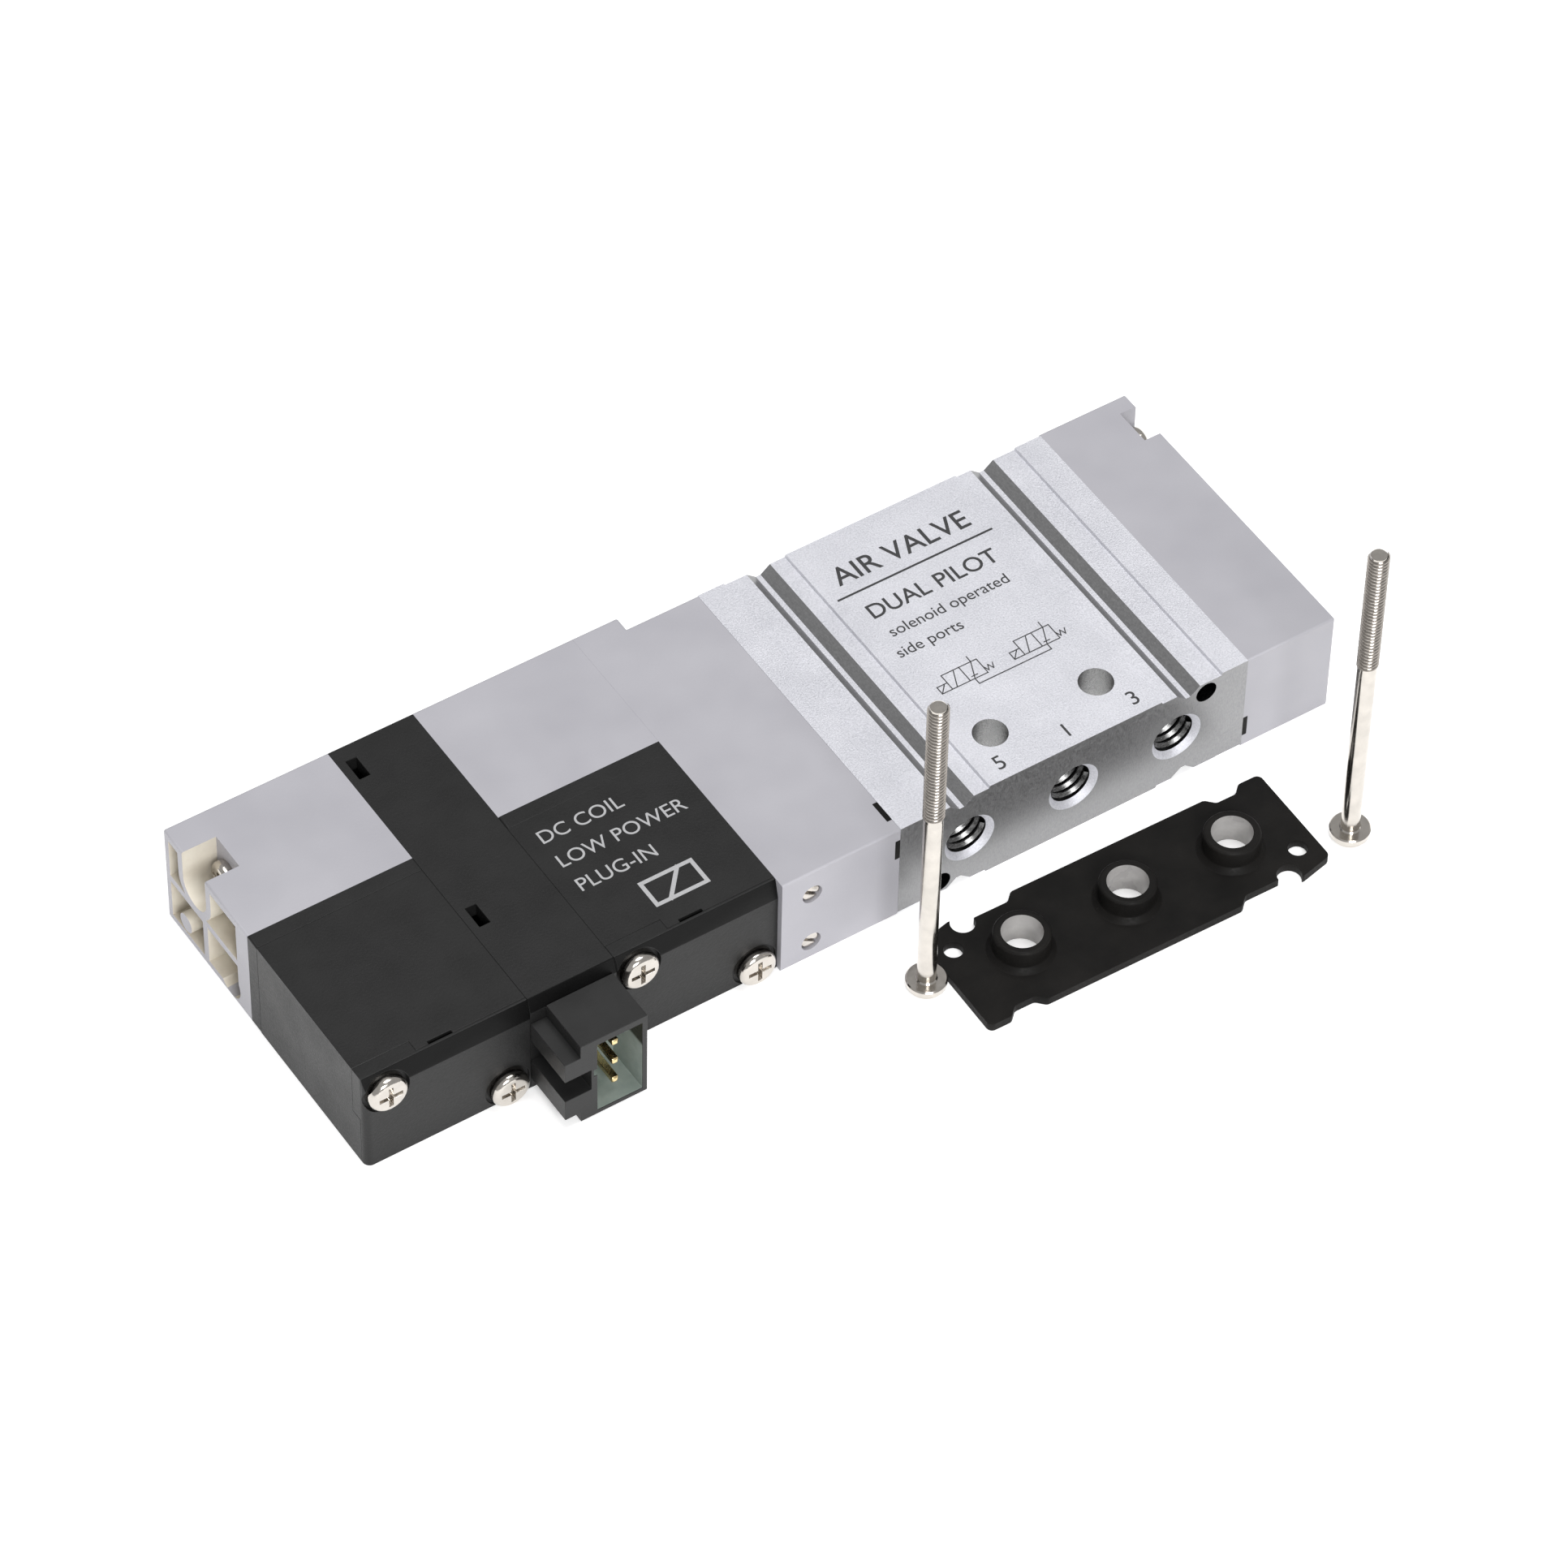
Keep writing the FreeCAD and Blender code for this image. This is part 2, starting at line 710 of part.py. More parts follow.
def cover_outline(left):
    """The front cover's solid, with its thick boss in the upper left corner and sloping top band."""
    right = left + pilot_length
    shape = block(left, right, coil_front, coil_front + cover_thickness, 0, height)
    shape = shape.fuse(cover_boss_block(left)).removeSplitter()
    slope = [V(left, coil_front, height), V(left, coil_front + cover_slope_run, height),
             V(left, coil_front, height - cover_slope_drop)]
    return shape.cut(extrude(slope, V(pilot_length, 0, 0)))


def coil_cover(name):
    left = pilots()[name]
    shape = cover_outline(left)

    def front_corner(edge):
        return runs_along(edge, Z) and abs(edge.CenterOfMass.x - left) < 1e-4 \
            and edge.CenterOfMass.y < coil_front + cover_thickness / 2
    shape = softened(shape, cover_thickness * 0.9, front_corner)
    bore = head_radius + counterbore_clearance
    for place, (x, z) in coil_screw_spots(left).items():
        start = V(x, coil_front, z)
        shape = shape.cut(rod(bore, start, Y, coil_screw_recess[place]))
        shape = shape.cut(rod(m2_radius + loose_fit, start, Y, cover_boss))
    return shape


def coil_housing(name):
    left = pilots()[name]
    right = left + pilot_length
    y1 = coil_share_end - guide_plate_thickness
    shape = block(left, right, coil_front + cover_thickness, y1, 0, height)
    shape = shape.cut(cover_boss_block(left))
    x = coil_axis(left)
    half_width = yoke_half() + loose_fit
    half_height = yoke_height / 2 + loose_fit
    room = block(x - half_width, x + half_width, coil_front + cover_boss + wall, y1,
                 mid - half_height, mid + half_height)
    shape = shape.cut(room)
    for hole in coil_screw_clearances(left, coil_front, y1):
        shape = shape.cut(hole)
    slot_x = left + cover_boss_width + window_slot_gap
    shape = shape.cut(block(slot_x, slot_x + window_length, coil_front, coil_front + cover_thickness + 0.35,
                            height - 1, height))
    return shape


def yoke_half():
    return bobbin_flange_half + loose_fit + yoke_thickness


def yoke_front():
    return coil_front + cover_boss + wall


def yoke(name):
    """U-shaped steel strip: a front plate behind the cover and a cheek along each side of the coil."""
    x = coil_axis(pilots()[name])
    y0 = yoke_front()
    y1 = y0 + yoke_thickness + loose_fit + bobbin_length
    z0 = mid - yoke_height / 2
    z1 = mid + yoke_height / 2
    outer = block(x - yoke_half(), x + yoke_half(), y0, y1, z0, z1)
    inner_half = yoke_half() - yoke_thickness
    inner = block(x - inner_half, x + inner_half, y0 + yoke_thickness, y1, z0, z1)
    shape = outer.cut(inner)
    return shape.cut(rod(plunger_radius, V(x, y0, mid), Y, yoke_thickness))


def bobbin_start():
    return yoke_front() + yoke_thickness + loose_fit / 2


def bobbin(name):
    x = coil_axis(pilots()[name])
    start = V(x, bobbin_start(), mid)
    tube = rod(bobbin_inner + bobbin_tube, start, Y, bobbin_length)
    for offset in (0, bobbin_length - bobbin_flange):
        flange = block(x - bobbin_flange_half, x + bobbin_flange_half, start.y + offset,
                       start.y + offset + bobbin_flange, mid - yoke_height / 2, mid + yoke_height / 2)
        tube = tube.fuse(flange)
    return tube.cut(rod(bobbin_inner, start, Y, bobbin_length))


def winding(name):
    x = coil_axis(pilots()[name])
    start = V(x, bobbin_start() + bobbin_flange, mid)
    return ring(winding_radius, bobbin_inner + bobbin_tube, start, Y, bobbin_length - 2 * bobbin_flange)


def core(name):
    """Fixed iron core, riveted in the yoke's front plate."""
    x = coil_axis(pilots()[name])
    shape = rod(plunger_radius, V(x, yoke_front(), mid), Y, core_length)
    return softened(shape, 0.2, lambda edge: len(edge.Vertexes) == 1)


def plunger_nose_end():
    """y of the plunger seal's face on the seat, at rest."""
    return coil_share_end + pilot_cavity_depth - seat_height


def plunger_start():
    return yoke_front() + core_length + plunger_stroke + plunger_gap


def plunger_end():
    return plunger_nose_end() - plunger_nose


def plunger(name):
    x = coil_axis(pilots()[name])
    start = plunger_start()
    shape = rod(plunger_radius, V(x, start, mid), Y, plunger_end() - start)
    collar = rod(plunger_collar_radius, V(x, plunger_end() - plunger_collar, mid), Y, plunger_collar)
    return shape.fuse(collar).removeSplitter()


def plunger_seal(name):
    x = coil_axis(pilots()[name])
    return rod(plunger_nose_radius, V(x, plunger_end(), mid), Y, plunger_nose)


def plunger_spring(name):
    x = coil_axis(pilots()[name])
    start = bobbin_start() + bobbin_length
    length = plunger_end() - plunger_collar - start
    radius = (plunger_radius + plunger_collar_radius) / 2
    return coil_spring(V(x, start, mid), Y, length, radius, plunger_spring_wire, length / 4)


def valve_seat(name):
    x = coil_axis(pilots()[name])
    base = coil_share_end + pilot_cavity_depth
    shape = Part.makeCone(seat_radius * 1.6, seat_radius * 0.7, seat_height, V(x, base, mid), Y * -1)
    return shape.cut(rod(seat_orifice, V(x, base, mid), Y * -1, seat_height))


def coil_screws():
    screws = []
    for left in pilots().values():
        for place, (x, z) in coil_screw_spots(left).items():
            seat = V(x, coil_screw_seat(place), z)
            length = coil_screw_end() - seat.y
            screws.append(pan_screw(seat, Y * -1, m2_core_radius, length, head_radius, head_height))
    return Part.Compound(screws)


def pilot_tie_screws():
    seat = left_pilot_left + left_notch_depth
    length = adapter_left + tie_grip - seat
    screws = []
    for y, z in tie_spots():
        screws.append(pan_screw(V(seat, y, z), X * -1, tie_radius, length, tie_head_radius, tie_head_height))
    return Part.Compound(screws)


def adapter_screws():
    seat = adapter_left + head_height
    length = body_left + short_screw_reach - seat
    return Part.Compound([pan_screw(V(seat, y, z), X * -1, m2_core_radius, length, head_radius, head_height)
                          for y, z in adapter_screw_spots()])


def cap_screws():
    seat = cap_right - right_notch_depth
    length = seat - body_right + short_screw_reach
    return Part.Compound([pan_screw(V(seat, y, z), X, m2_core_radius, length, tie_head_radius, head_height)
                          for y, z in cap_screw_spots()])


# ---- connector between the pilots ----
def connector_base():
    right = strip_left + strip_length
    top = height - strip_thickness
    shape = block(strip_left, right, coil_front, pilot_back, 0, top)
    shape = shape.cut(block(strip_left + wall, right - wall, coil_front + wall, pilot_back - wall, wall, top))
    for y, z in tie_spots():
        shape = shape.cut(rod(tie_radius + loose_fit, V(strip_left, y, z), X, strip_length))
    tail = plug_tail()
    return shape.cut(tail)


def connector_cover():
    right = strip_left + strip_length
    shape = moulded_block(strip_left, right, coil_front, pilot_back, height - strip_thickness, height,
                          [(X, strip_left), (X, right), (Z, height - strip_thickness), (Y, coil_front)])
    slope = [V(strip_left, coil_front, height), V(strip_left, coil_front + cover_slope_run, height),
             V(strip_left, coil_front, height - strip_thickness)]
    shape = shape.cut(extrude(slope, V(strip_length, 0, 0)))
    for y in window_y:
        x0 = strip_left + window_from_left
        shape = shape.cut(block(x0, x0 + window_width, y - window_length / 2, y + window_length / 2,
                                height - strip_thickness, height))
    return shape


def circuit_board():
    x1 = pin_column() - pin_width / 2
    x0 = x1 - board_thickness
    y0 = coil_front + wall + board_margin
    y1 = pilot_back - wall - board_margin
    board = block(x0, x1, y0, y1, wall + board_margin, height - strip_thickness - board_margin)
    for y, z in tie_spots():
        board = board.cut(rod(tie_radius + 2 * loose_fit, V(x0, y, z), X, board_thickness))
    return board


def plug_sides():
    return strip_left + plug_left_gap, strip_left + strip_length + plug_right_over


def pin_column():
    x0, x1 = plug_sides()
    return (x0 + plug_left_wall + x1 - plug_wall) / 2


def plug_tail():
    """The part of the plug that passes through the connector base's front wall."""
    x0, x1 = plug_sides()
    return block(x0 + 1, x1 - 1, coil_front, coil_front + wall, plug_bottom + 1, plug_top - 1)


def plug_socket():
    x0, x1 = plug_sides()
    mouth = coil_front - plug_reach
    shape = block(x0, x1, mouth, coil_front, plug_bottom, plug_top)
    shape = shape.fuse(block(strip_left, x0 + 0.1, mouth, coil_front, plug_key_bottom, plug_key_top))
    shape = shape.fuse(block(strip_left, x0 + 0.1, mouth, coil_front, *plug_flange))
    slot = block(strip_left, x0 + plug_slot_into, mouth, coil_front, plug_flange[1], plug_key_bottom)
    shape = shape.cut(slot)
    middle = (plug_flange[1] + plug_key_bottom) / 2
    opening = block(x0 + plug_left_wall, x1 - plug_wall, mouth, mouth + plug_floor_depth,
                    plug_bottom + plug_wall, plug_top - plug_roof)
    key_slot = block(x0 + plug_left_wall - 0.35, x0 + plug_left_wall, mouth, mouth + plug_floor_depth,
                     middle + 0.3, middle + 1.1)
    shape = shape.cut(opening).cut(key_slot)
    shape = shape.fuse(plug_tail()).removeSplitter()
    for z in pin_heights():
        shape = shape.cut(pin(z))
    return shape


def pin_heights():
    middle = (plug_bottom + plug_wall + plug_top - plug_roof) / 2
    return (middle - pin_pitch, middle, middle + pin_pitch)


def pin(z):
    half = pin_width / 2
    start = coil_front - plug_reach + pin_recess
    shape = block(pin_column() - half, pin_column() + half, start, start + pin_length, z - half, z + half)
    tip = [edge for edge in shape.Edges if abs(edge.CenterOfMass.y - start) < 1e-6]
    return shape.makeChamfer(half * 0.45, tip)


def plug_pins():
    return Part.Compound([pin(z) for z in pin_heights()])


# ---- loose kit in front of the valve ----
def kit_gasket_outline():
    """Corners of half the outline, from the right edge round the back; the rest is its half turn."""
    end = kit_gasket_length / 2
    side = kit_gasket_width / 2
    low = side - kit_step
    return [(end, -side + kit_step), (end, side), (kit_ear_inner, side), (kit_ear_inner - kit_step, low),
            (kit_wide_long, low), (kit_wide_long - kit_step, side),
            (-kit_wide_short, side), (-kit_wide_short - kit_step, low), (-kit_notch_at, low),
            (-kit_notch_at - kit_step, side)]


def mounting_gasket():
    half = kit_gasket_outline()
    loop = half + [(-x, -y) for x, y in half]
    plate = extrude([V(x, y, 0) for x, y in loop], V(0, 0, kit_gasket_thickness))
    plate = softened(plate, kit_corner, lambda edge: runs_along(edge, Z))
    for turn in (1, -1):
        spot = V(-turn * kit_notch_at, turn * (kit_gasket_width / 2 - kit_step), 0)
        plate = plate.cut(rod(kit_notch_radius, spot, Z, kit_gasket_thickness))
    collar_top = kit_gasket_thickness + collar_height
    for u in (-port_pitch, 0, port_pitch):
        collar = rod(collar_radius, V(u, 0, 0), Z, collar_top)
        collar = softened(collar, collar_rim, lambda edge: abs(edge.CenterOfMass.z - collar_top) < 1e-6)
        foot = Part.makeCone(collar_radius + collar_foot, collar_radius, collar_foot,
                             V(u, 0, kit_gasket_thickness), Z)
        plate = plate.fuse(collar).fuse(foot)
    for u in (-port_pitch, 0, port_pitch):
        plate = plate.cut(rod(collar_hole_radius, V(u, 0, 0), Z, collar_top))
    for turn in (1, -1):
        spot = V(turn * kit_screw_hole[0], turn * kit_screw_hole[1], 0)
        plate = plate.cut(rod(kit_screw_hole_radius, spot, Z, kit_gasket_thickness))
    plate = plate.removeSplitter()
    plate.rotate(V(0, 0, 0), Z, kit_gasket_turn)
    plate.translate(kit_gasket_centre)
    return plate


def mounting_screw(foot):
    """A long screw standing on its head: head below, plain shank, threaded end on top."""
    seat = foot + Z * head_height
    shank_length = kit_screw_length - kit_screw_thread
    shank = rod(kit_shank_radius, seat, Z, shank_length)
    thread = rod(m2_radius, seat + Z * shank_length, Z, kit_screw_thread)
    tip = seat.z + kit_screw_length
    thread = softened(thread, m2_radius * 0.6, lambda edge: abs(edge.CenterOfMass.z - tip) < 1e-6)
    head = rod(head_radius, foot, Z, head_height)
    head = softened(head, head_height * 0.45, lambda edge: abs(edge.CenterOfMass.z - foot.z) < 1e-6)
    screw = head.fuse([shank, thread]).removeSplitter()
    return screw.cut(cross_recess(foot, Z * -1, recess_depth, recess_arm, head_radius * 0.62))


def build():
    nodes = {
        "valve_body": valve_body(),
        "adapter": adapter(),
        "end_cap": end_cap(),
        "adapter_gasket": end_gasket(body_left - gasket_thickness, False, adapter_screw_spots()),
        "end_cap_gasket": end_gasket(body_right, True, cap_screw_spots()),
        "spring_spacer": spring_spacer(),
        "adapter_screws": adapter_screws(),
        "end_cap_screws": cap_screws(),
        "pilot_tie_screws": pilot_tie_screws(),
        "coil_screws": coil_screws(),
        "connector_base": connector_base(),
        "connector_cover": connector_cover(),
        "circuit_board": circuit_board(),
        "plug_socket": plug_socket(),
        "plug_pins": plug_pins(),
        "mounting_gasket": mounting_gasket(),
        "left_mounting_screw": mounting_screw(kit_screw_left),
        "right_mounting_screw": mounting_screw(kit_screw_right),
    }
    for name, side in (("left", -1), ("right", 1)):
        nodes[name + "_spool"] = spool(side)
        nodes[name + "_spool_seals"] = spool_seals(side)
        nodes[name + "_return_spring"] = return_spring(side)
        nodes[name + "_piston"] = piston(side)
        nodes[name + "_piston_seal"] = piston_seal(side)
    for name in override_heights:
        nodes[name + "_override_button"] = override_button(name)
        nodes[name + "_override_seal"] = override_seal(name)
        nodes[name + "_override_spring"] = override_spring(name)
    for name in pilots():
        nodes[name + "_pilot_body"] = pilot_body(name)
        nodes[name + "_guide_plate"] = guide_plate(name)
        nodes[name + "_coil_housing"] = coil_housing(name)
        nodes[name + "_coil_cover"] = coil_cover(name)
        nodes[name + "_yoke"] = yoke(name)
        nodes[name + "_bobbin"] = bobbin(name)
        nodes[name + "_winding"] = winding(name)
        nodes[name + "_core"] = core(name)
        nodes[name + "_plunger"] = plunger(name)
        nodes[name + "_plunger_seal"] = plunger_seal(name)
        nodes[name + "_plunger_spring"] = plunger_spring(name)
        nodes[name + "_valve_seat"] = valve_seat(name)
    return nodes


os.makedirs("parts", exist_ok=True)
for node, solid in build().items():
    export(node, solid)
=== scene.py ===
import bpy
import json
import math
from mathutils import Matrix, Vector


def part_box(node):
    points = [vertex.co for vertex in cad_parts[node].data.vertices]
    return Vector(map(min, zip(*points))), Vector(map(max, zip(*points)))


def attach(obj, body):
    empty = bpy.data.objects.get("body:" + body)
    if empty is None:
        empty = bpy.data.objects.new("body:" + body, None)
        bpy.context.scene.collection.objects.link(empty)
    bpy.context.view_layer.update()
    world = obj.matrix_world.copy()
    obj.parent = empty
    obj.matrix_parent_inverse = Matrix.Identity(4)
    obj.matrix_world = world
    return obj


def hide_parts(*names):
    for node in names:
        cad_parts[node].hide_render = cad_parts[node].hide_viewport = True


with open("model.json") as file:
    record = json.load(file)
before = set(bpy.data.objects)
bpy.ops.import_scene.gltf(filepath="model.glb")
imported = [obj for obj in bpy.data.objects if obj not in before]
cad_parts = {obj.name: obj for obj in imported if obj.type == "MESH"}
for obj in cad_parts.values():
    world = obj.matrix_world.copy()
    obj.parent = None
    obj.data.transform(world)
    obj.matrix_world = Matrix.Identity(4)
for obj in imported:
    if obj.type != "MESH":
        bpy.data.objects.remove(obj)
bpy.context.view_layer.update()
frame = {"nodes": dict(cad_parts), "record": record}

MM = 0.001
BODY_OF = {node: body for body, nodes in frame["record"]["behaviour"]["bodies"].items()
           for node in nodes}
SLOT_OF = {entry["node"]: entry["material_slot"] for entry in frame["record"]["subparts"]}

# ---- places read from the model ----
body_low, body_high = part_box("valve_body")
TOP = body_high.z
FRONT = body_low.y      # the face with ports 5, 1 and 3
UPRIGHT = Vector((0, 0, 1))


# ================= shader helpers =================
OBJECT_COORDINATES = 3      # output of Texture Coordinate
MIX_FIRST, MIX_SECOND = 6, 7        # colour inputs of Mix
MIX_RESULT = 2      # its colour output


class Value:
    """A shader socket that can be used in sums and products."""

    def __init__(self, shader, socket):
        self.shader = shader
        self.socket = socket

    def combine(self, operation, first, second):
        return self.shader.node("ShaderNodeMath", {"operation": operation}, {0: first, 1: second})

    def __add__(self, other):
        return self.combine("ADD", self, other)

    __radd__ = __add__

    def __sub__(self, other):
        return self.combine("SUBTRACT", self, other)

    def __rsub__(self, other):
        return self.combine("SUBTRACT", other, self)

    def __mul__(self, other):
        return self.combine("MULTIPLY", self, other)

    __rmul__ = __mul__


class Shader:
    """One material built node by node around a Principled shader."""

    def __init__(self, name):
        self.material = bpy.data.materials.new(name)
        self.material.use_nodes = True
        self.tree = self.material.node_tree
        self.principled = self.tree.nodes["Principled BSDF"]

    def node(self, kind, settings, inputs, output=0):
        made = self.tree.nodes.new(kind)
        for key, value in settings.items():
            if key == "stops":
                self.set_stops(made.color_ramp, value)
            else:
                setattr(made, key, value)
        for key, value in inputs.items():
            self.feed(made.inputs[key], value)
        return Value(self, made.outputs[output])

    def feed(self, socket, value):
        if isinstance(value, Value):
            self.tree.links.new(value.socket, socket)
        else:
            socket.default_value = value

    def set_stops(self, ramp, stops):
        while len(ramp.elements) > 1:
            ramp.elements.remove(ramp.elements[-1])
        ramp.elements[0].position = stops[0][0]
        ramp.elements[0].color = stops[0][1]
        for place, colour in stops[1:]:
            ramp.elements.new(place).color = colour

    def place(self):
        return self.node("ShaderNodeTexCoord", {}, {}, OBJECT_COORDINATES)

    def axis(self, name):
        return self.node("ShaderNodeSeparateXYZ", {}, {0: self.place()}, "XYZ".index(name))

    def noise(self, size, detail=3.0, rough=0.55):
        """Noise whose lumps are about size metres across."""
        return self.node("ShaderNodeTexNoise", {}, {"Vector": self.place(), "Scale": 1 / size,
                                                    "Detail": detail, "Roughness": rough})

    def stretched_noise(self, size, stretch):
        spot = self.node("ShaderNodeMapping", {}, {"Vector": self.place(), "Scale": stretch})
        return self.node("ShaderNodeTexNoise", {}, {"Vector": spot, "Scale": 1 / size, "Detail": 2.0})

    def spread(self, value, low, high, from_low=0.3, from_high=0.7):
        return self.node("ShaderNodeMapRange", {"clamp": True}, {
            "Value": value, "From Min": from_low, "From Max": from_high, "To Min": low, "To Max": high})

    def mix(self, share, first, second):
        return self.node("ShaderNodeMix", {"data_type": "RGBA"},
                         {0: share, MIX_FIRST: first, MIX_SECOND: second}, MIX_RESULT)

    def bump(self, height, depth, strength=1.0):
        return self.node("ShaderNodeBump", {},
                         {"Height": height, "Distance": depth, "Strength": strength})

    def surface(self, **sockets):
        for key, value in sockets.items():
            self.feed(self.principled.inputs[key.replace("_", " ")], value)
        return self.material


def grey(level, warm=0.0):
    return (level * (1 + warm), level, level * (1 - warm), 1)


def darker(colour, share, lift=0.0):
    return tuple(c * share + lift for c in colour[:3]) + (1,)


# ================= materials =================
def blasted_aluminium():
    s = Shader("blasted_aluminium")
    grain = s.noise(0.00016, 4.0, 0.7)
    blotch = s.noise(0.006, 3.0)
    share = s.spread(grain, 0, 1) * 0.75 + s.spread(blotch, 0, 1) * 0.25
    colour = s.mix(share, (0.50, 0.505, 0.545, 1), (0.80, 0.80, 0.845, 1))
    rough = s.spread(grain, 0.46, 0.62)
    return s.surface(Base_Color=colour, Metallic=0.7, Roughness=rough,
                     Normal=s.bump(grain, 0.00006, 0.8))


def milled_aluminium_painted_shade():
    s = Shader("milled_aluminium_painted_shade")
    lines = s.stretched_noise(0.0004, (8, 1, 1))
    fine = s.noise(0.0002, 4.0)
    share = s.spread(lines, 0, 1) * 0.5 + s.spread(fine, 0, 1) * 0.5
    # the milling lines are the finish; the low grey, darker than the top's aluminium, is painted shade
    colour = s.mix(share, (0.25, 0.25, 0.255, 1), (0.37, 0.37, 0.375, 1))
    return s.surface(Base_Color=colour, Metallic=0.9, Roughness=s.spread(fine, 0.3, 0.46),
                     Normal=s.bump(lines, 0.00002, 0.5))


def drilled_metal(name, low, high, roughness):
    """Wall of a drilled or tapped hole."""
    s = Shader(name)
    rings = s.stretched_noise(0.0003, (1, 6, 1))
    colour = s.mix(s.spread(rings, 0, 1), grey(low), grey(high))
    rough = s.spread(rings, roughness * 0.7, roughness * 1.3)
    return s.surface(Base_Color=colour, Metallic=1.0, Roughness=rough,
                     Normal=s.bump(rings, 0.00002, 0.5))


def turned_metal(name, colour, roughness):
    s = Shader(name)
    lines = s.stretched_noise(0.0004, (1, 1, 6))
    rough = s.spread(lines, roughness * 0.7, roughness * 1.4)
    tint = s.mix(s.spread(s.noise(0.0015), 0, 1), colour, darker(colour, 0.86))
    return s.surface(Base_Color=tint, Metallic=1.0, Roughness=rough,
                     Normal=s.bump(lines, 0.00001, 0.4))


def grey_plastic():
    s = Shader("grey_plastic")
    fine = s.noise(0.00022, 4.0, 0.6)
    cloud = s.noise(0.009, 2.0)
    colour = s.mix(s.spread(cloud, 0, 1), (0.345, 0.34, 0.37, 1), (0.39, 0.385, 0.415, 1))
    rough = s.spread(fine, 0.42, 0.54)
    return s.surface(Base_Color=colour, Roughness=rough, Normal=s.bump(fine, 0.00002, 0.45))


def beige_hollow():
    s = Shader("grey_plastic_hollow")
    fine = s.noise(0.0003, 3.0)
    cloud = s.noise(0.003)
    colour = s.mix(s.spread(cloud, 0, 1), (0.55, 0.50, 0.42, 1), (0.66, 0.62, 0.535, 1))
    return s.surface(Base_Color=colour, Roughness=s.spread(fine, 0.5, 0.62),
                     Normal=s.bump(fine, 0.00002, 0.4))


def black_plastic(name, level, rough_low, rough_high, depth, shine=0.27):
    s = Shader(name)
    grain = s.noise(0.00025, 5.0, 0.65)
    cloud = s.noise(0.004, 4.0)
    colour = s.mix(s.spread(cloud, 0, 1), grey(level * 0.85), grey(level * 1.25))
    rough = s.spread(grain * 0.5 + cloud * 0.5, rough_low, rough_high)
    return s.surface(Base_Color=colour, Roughness=rough, Normal=s.bump(grain, depth, 0.7),
                     Specular_IOR_Level=shine)


def rubber():
    s = Shader("black_rubber")
    grain = s.noise(0.0003, 4.0)
    cloud = s.noise(0.005, 3.0)
    colour = s.mix(s.spread(cloud, 0, 1), grey(0.005, 0.05), grey(0.010, 0.08))
    return s.surface(Base_Color=colour, Roughness=s.spread(grain, 0.42, 0.6),
                     Normal=s.bump(grain, 0.00002, 0.5), Specular_IOR_Level=0.09)


def socket_inside_painted_shadow():
    """Pale below; above, painted shadow cast by the socket's roof, with a short change between the two
    heights.
    """
    s = Shader("socket_inside_painted_shadow")
    fine = s.noise(0.0003, 3.0)
    cloud = s.noise(0.002)
    pale = s.mix(s.spread(cloud, 0, 1), (0.20, 0.245, 0.22, 1), (0.30, 0.345, 0.315, 1))
    # dark above 6.2 to 6.6 mm: painted shadow of the socket's roof
    upper = s.spread(s.axis("Z"), 0, 1, 6.2 * MM, 6.6 * MM)
    colour = s.mix(upper, pale, (0.018, 0.02, 0.014, 1))
    return s.surface(Base_Color=colour, Roughness=s.spread(fine, 0.4, 0.55),
                     Normal=s.bump(fine, 0.00001, 0.4))


def ink(name, colour):
    s = Shader(name)
    speck = s.noise(0.00012, 3.0)
    shade = s.mix(s.spread(speck, 0, 1), colour, darker(colour, 0.75, 0.02))
    return s.surface(Base_Color=shade, Roughness=s.spread(speck, 0.45, 0.65))


def plain_moulding(name, low, high, roughness):
    s = Shader(name)
    cloud = s.noise(0.002, 3.0)
    return s.surface(Base_Color=s.mix(s.spread(cloud, 0, 1), low, high),
                     Roughness=s.spread(cloud, roughness * 0.85, roughness * 1.15),
                     Normal=s.bump(s.noise(0.0003), 0.00001, 0.4))


def copper_winding():
    s = Shader("copper_winding")
    turns = s.node("ShaderNodeTexWave", {"wave_type": "BANDS", "bands_direction": "Y"},
                   {"Vector": s.place(), "Scale": 1200.0, "Distortion": 0.5})
    colour = s.mix(turns, (0.30, 0.10, 0.04, 1), (0.72, 0.33, 0.16, 1))
    return s.surface(Base_Color=colour, Metallic=0.9, Roughness=s.spread(turns, 0.25, 0.4),
                     Normal=s.bump(turns, 0.00005))


BLACK = black_plastic("black_plastic", 0.010, 0.36, 0.52, 0.00003)
# darker, less reflective copy of the black plastic: painted shade on the top-front chamfers
BAND = black_plastic("black_plastic_polished_painted_shade", 0.003, 0.30, 0.42, 0.00001, 0.10)
HOLLOW = beige_hollow()
SOCKET = socket_inside_painted_shadow()
NICKEL = turned_metal("nickel_plate", (0.62, 0.585, 0.54, 1), 0.15)
# darker copy of the nickel plating: painted shade in the thread's grooves
SHADED_NICKEL_THREAD = turned_metal("nickel_thread_painted_shade", (0.36, 0.33, 0.30, 1), 0.24)
MILLED_PAINTED_SHADE = milled_aluminium_painted_shade()
# near-black metal: painted shade inside the ports and mounting holes
BORE_PAINTED_SHADE = drilled_metal("bore_wall_painted_shade", 0.02, 0.06, 0.35)
# dark grey metal: painted shade on the threads inside the ports
THREAD = drilled_metal("thread_crest_painted_shade", 0.10, 0.24, 0.3)
REAMED = drilled_metal("reamed_wall", 0.90, 0.98, 0.28)
# light grey in the black rubber collar bores: painted reflection
COLLAR = plain_moulding("collar_bore_painted_reflection", (0.30, 0.29, 0.285, 1),
                        (0.42, 0.41, 0.40, 1), 0.3)
DARK_INK = ink("printed_black", (0.02, 0.02, 0.022, 1))
PALE_INK = ink("printed_grey", (0.42, 0.42, 0.43, 1))
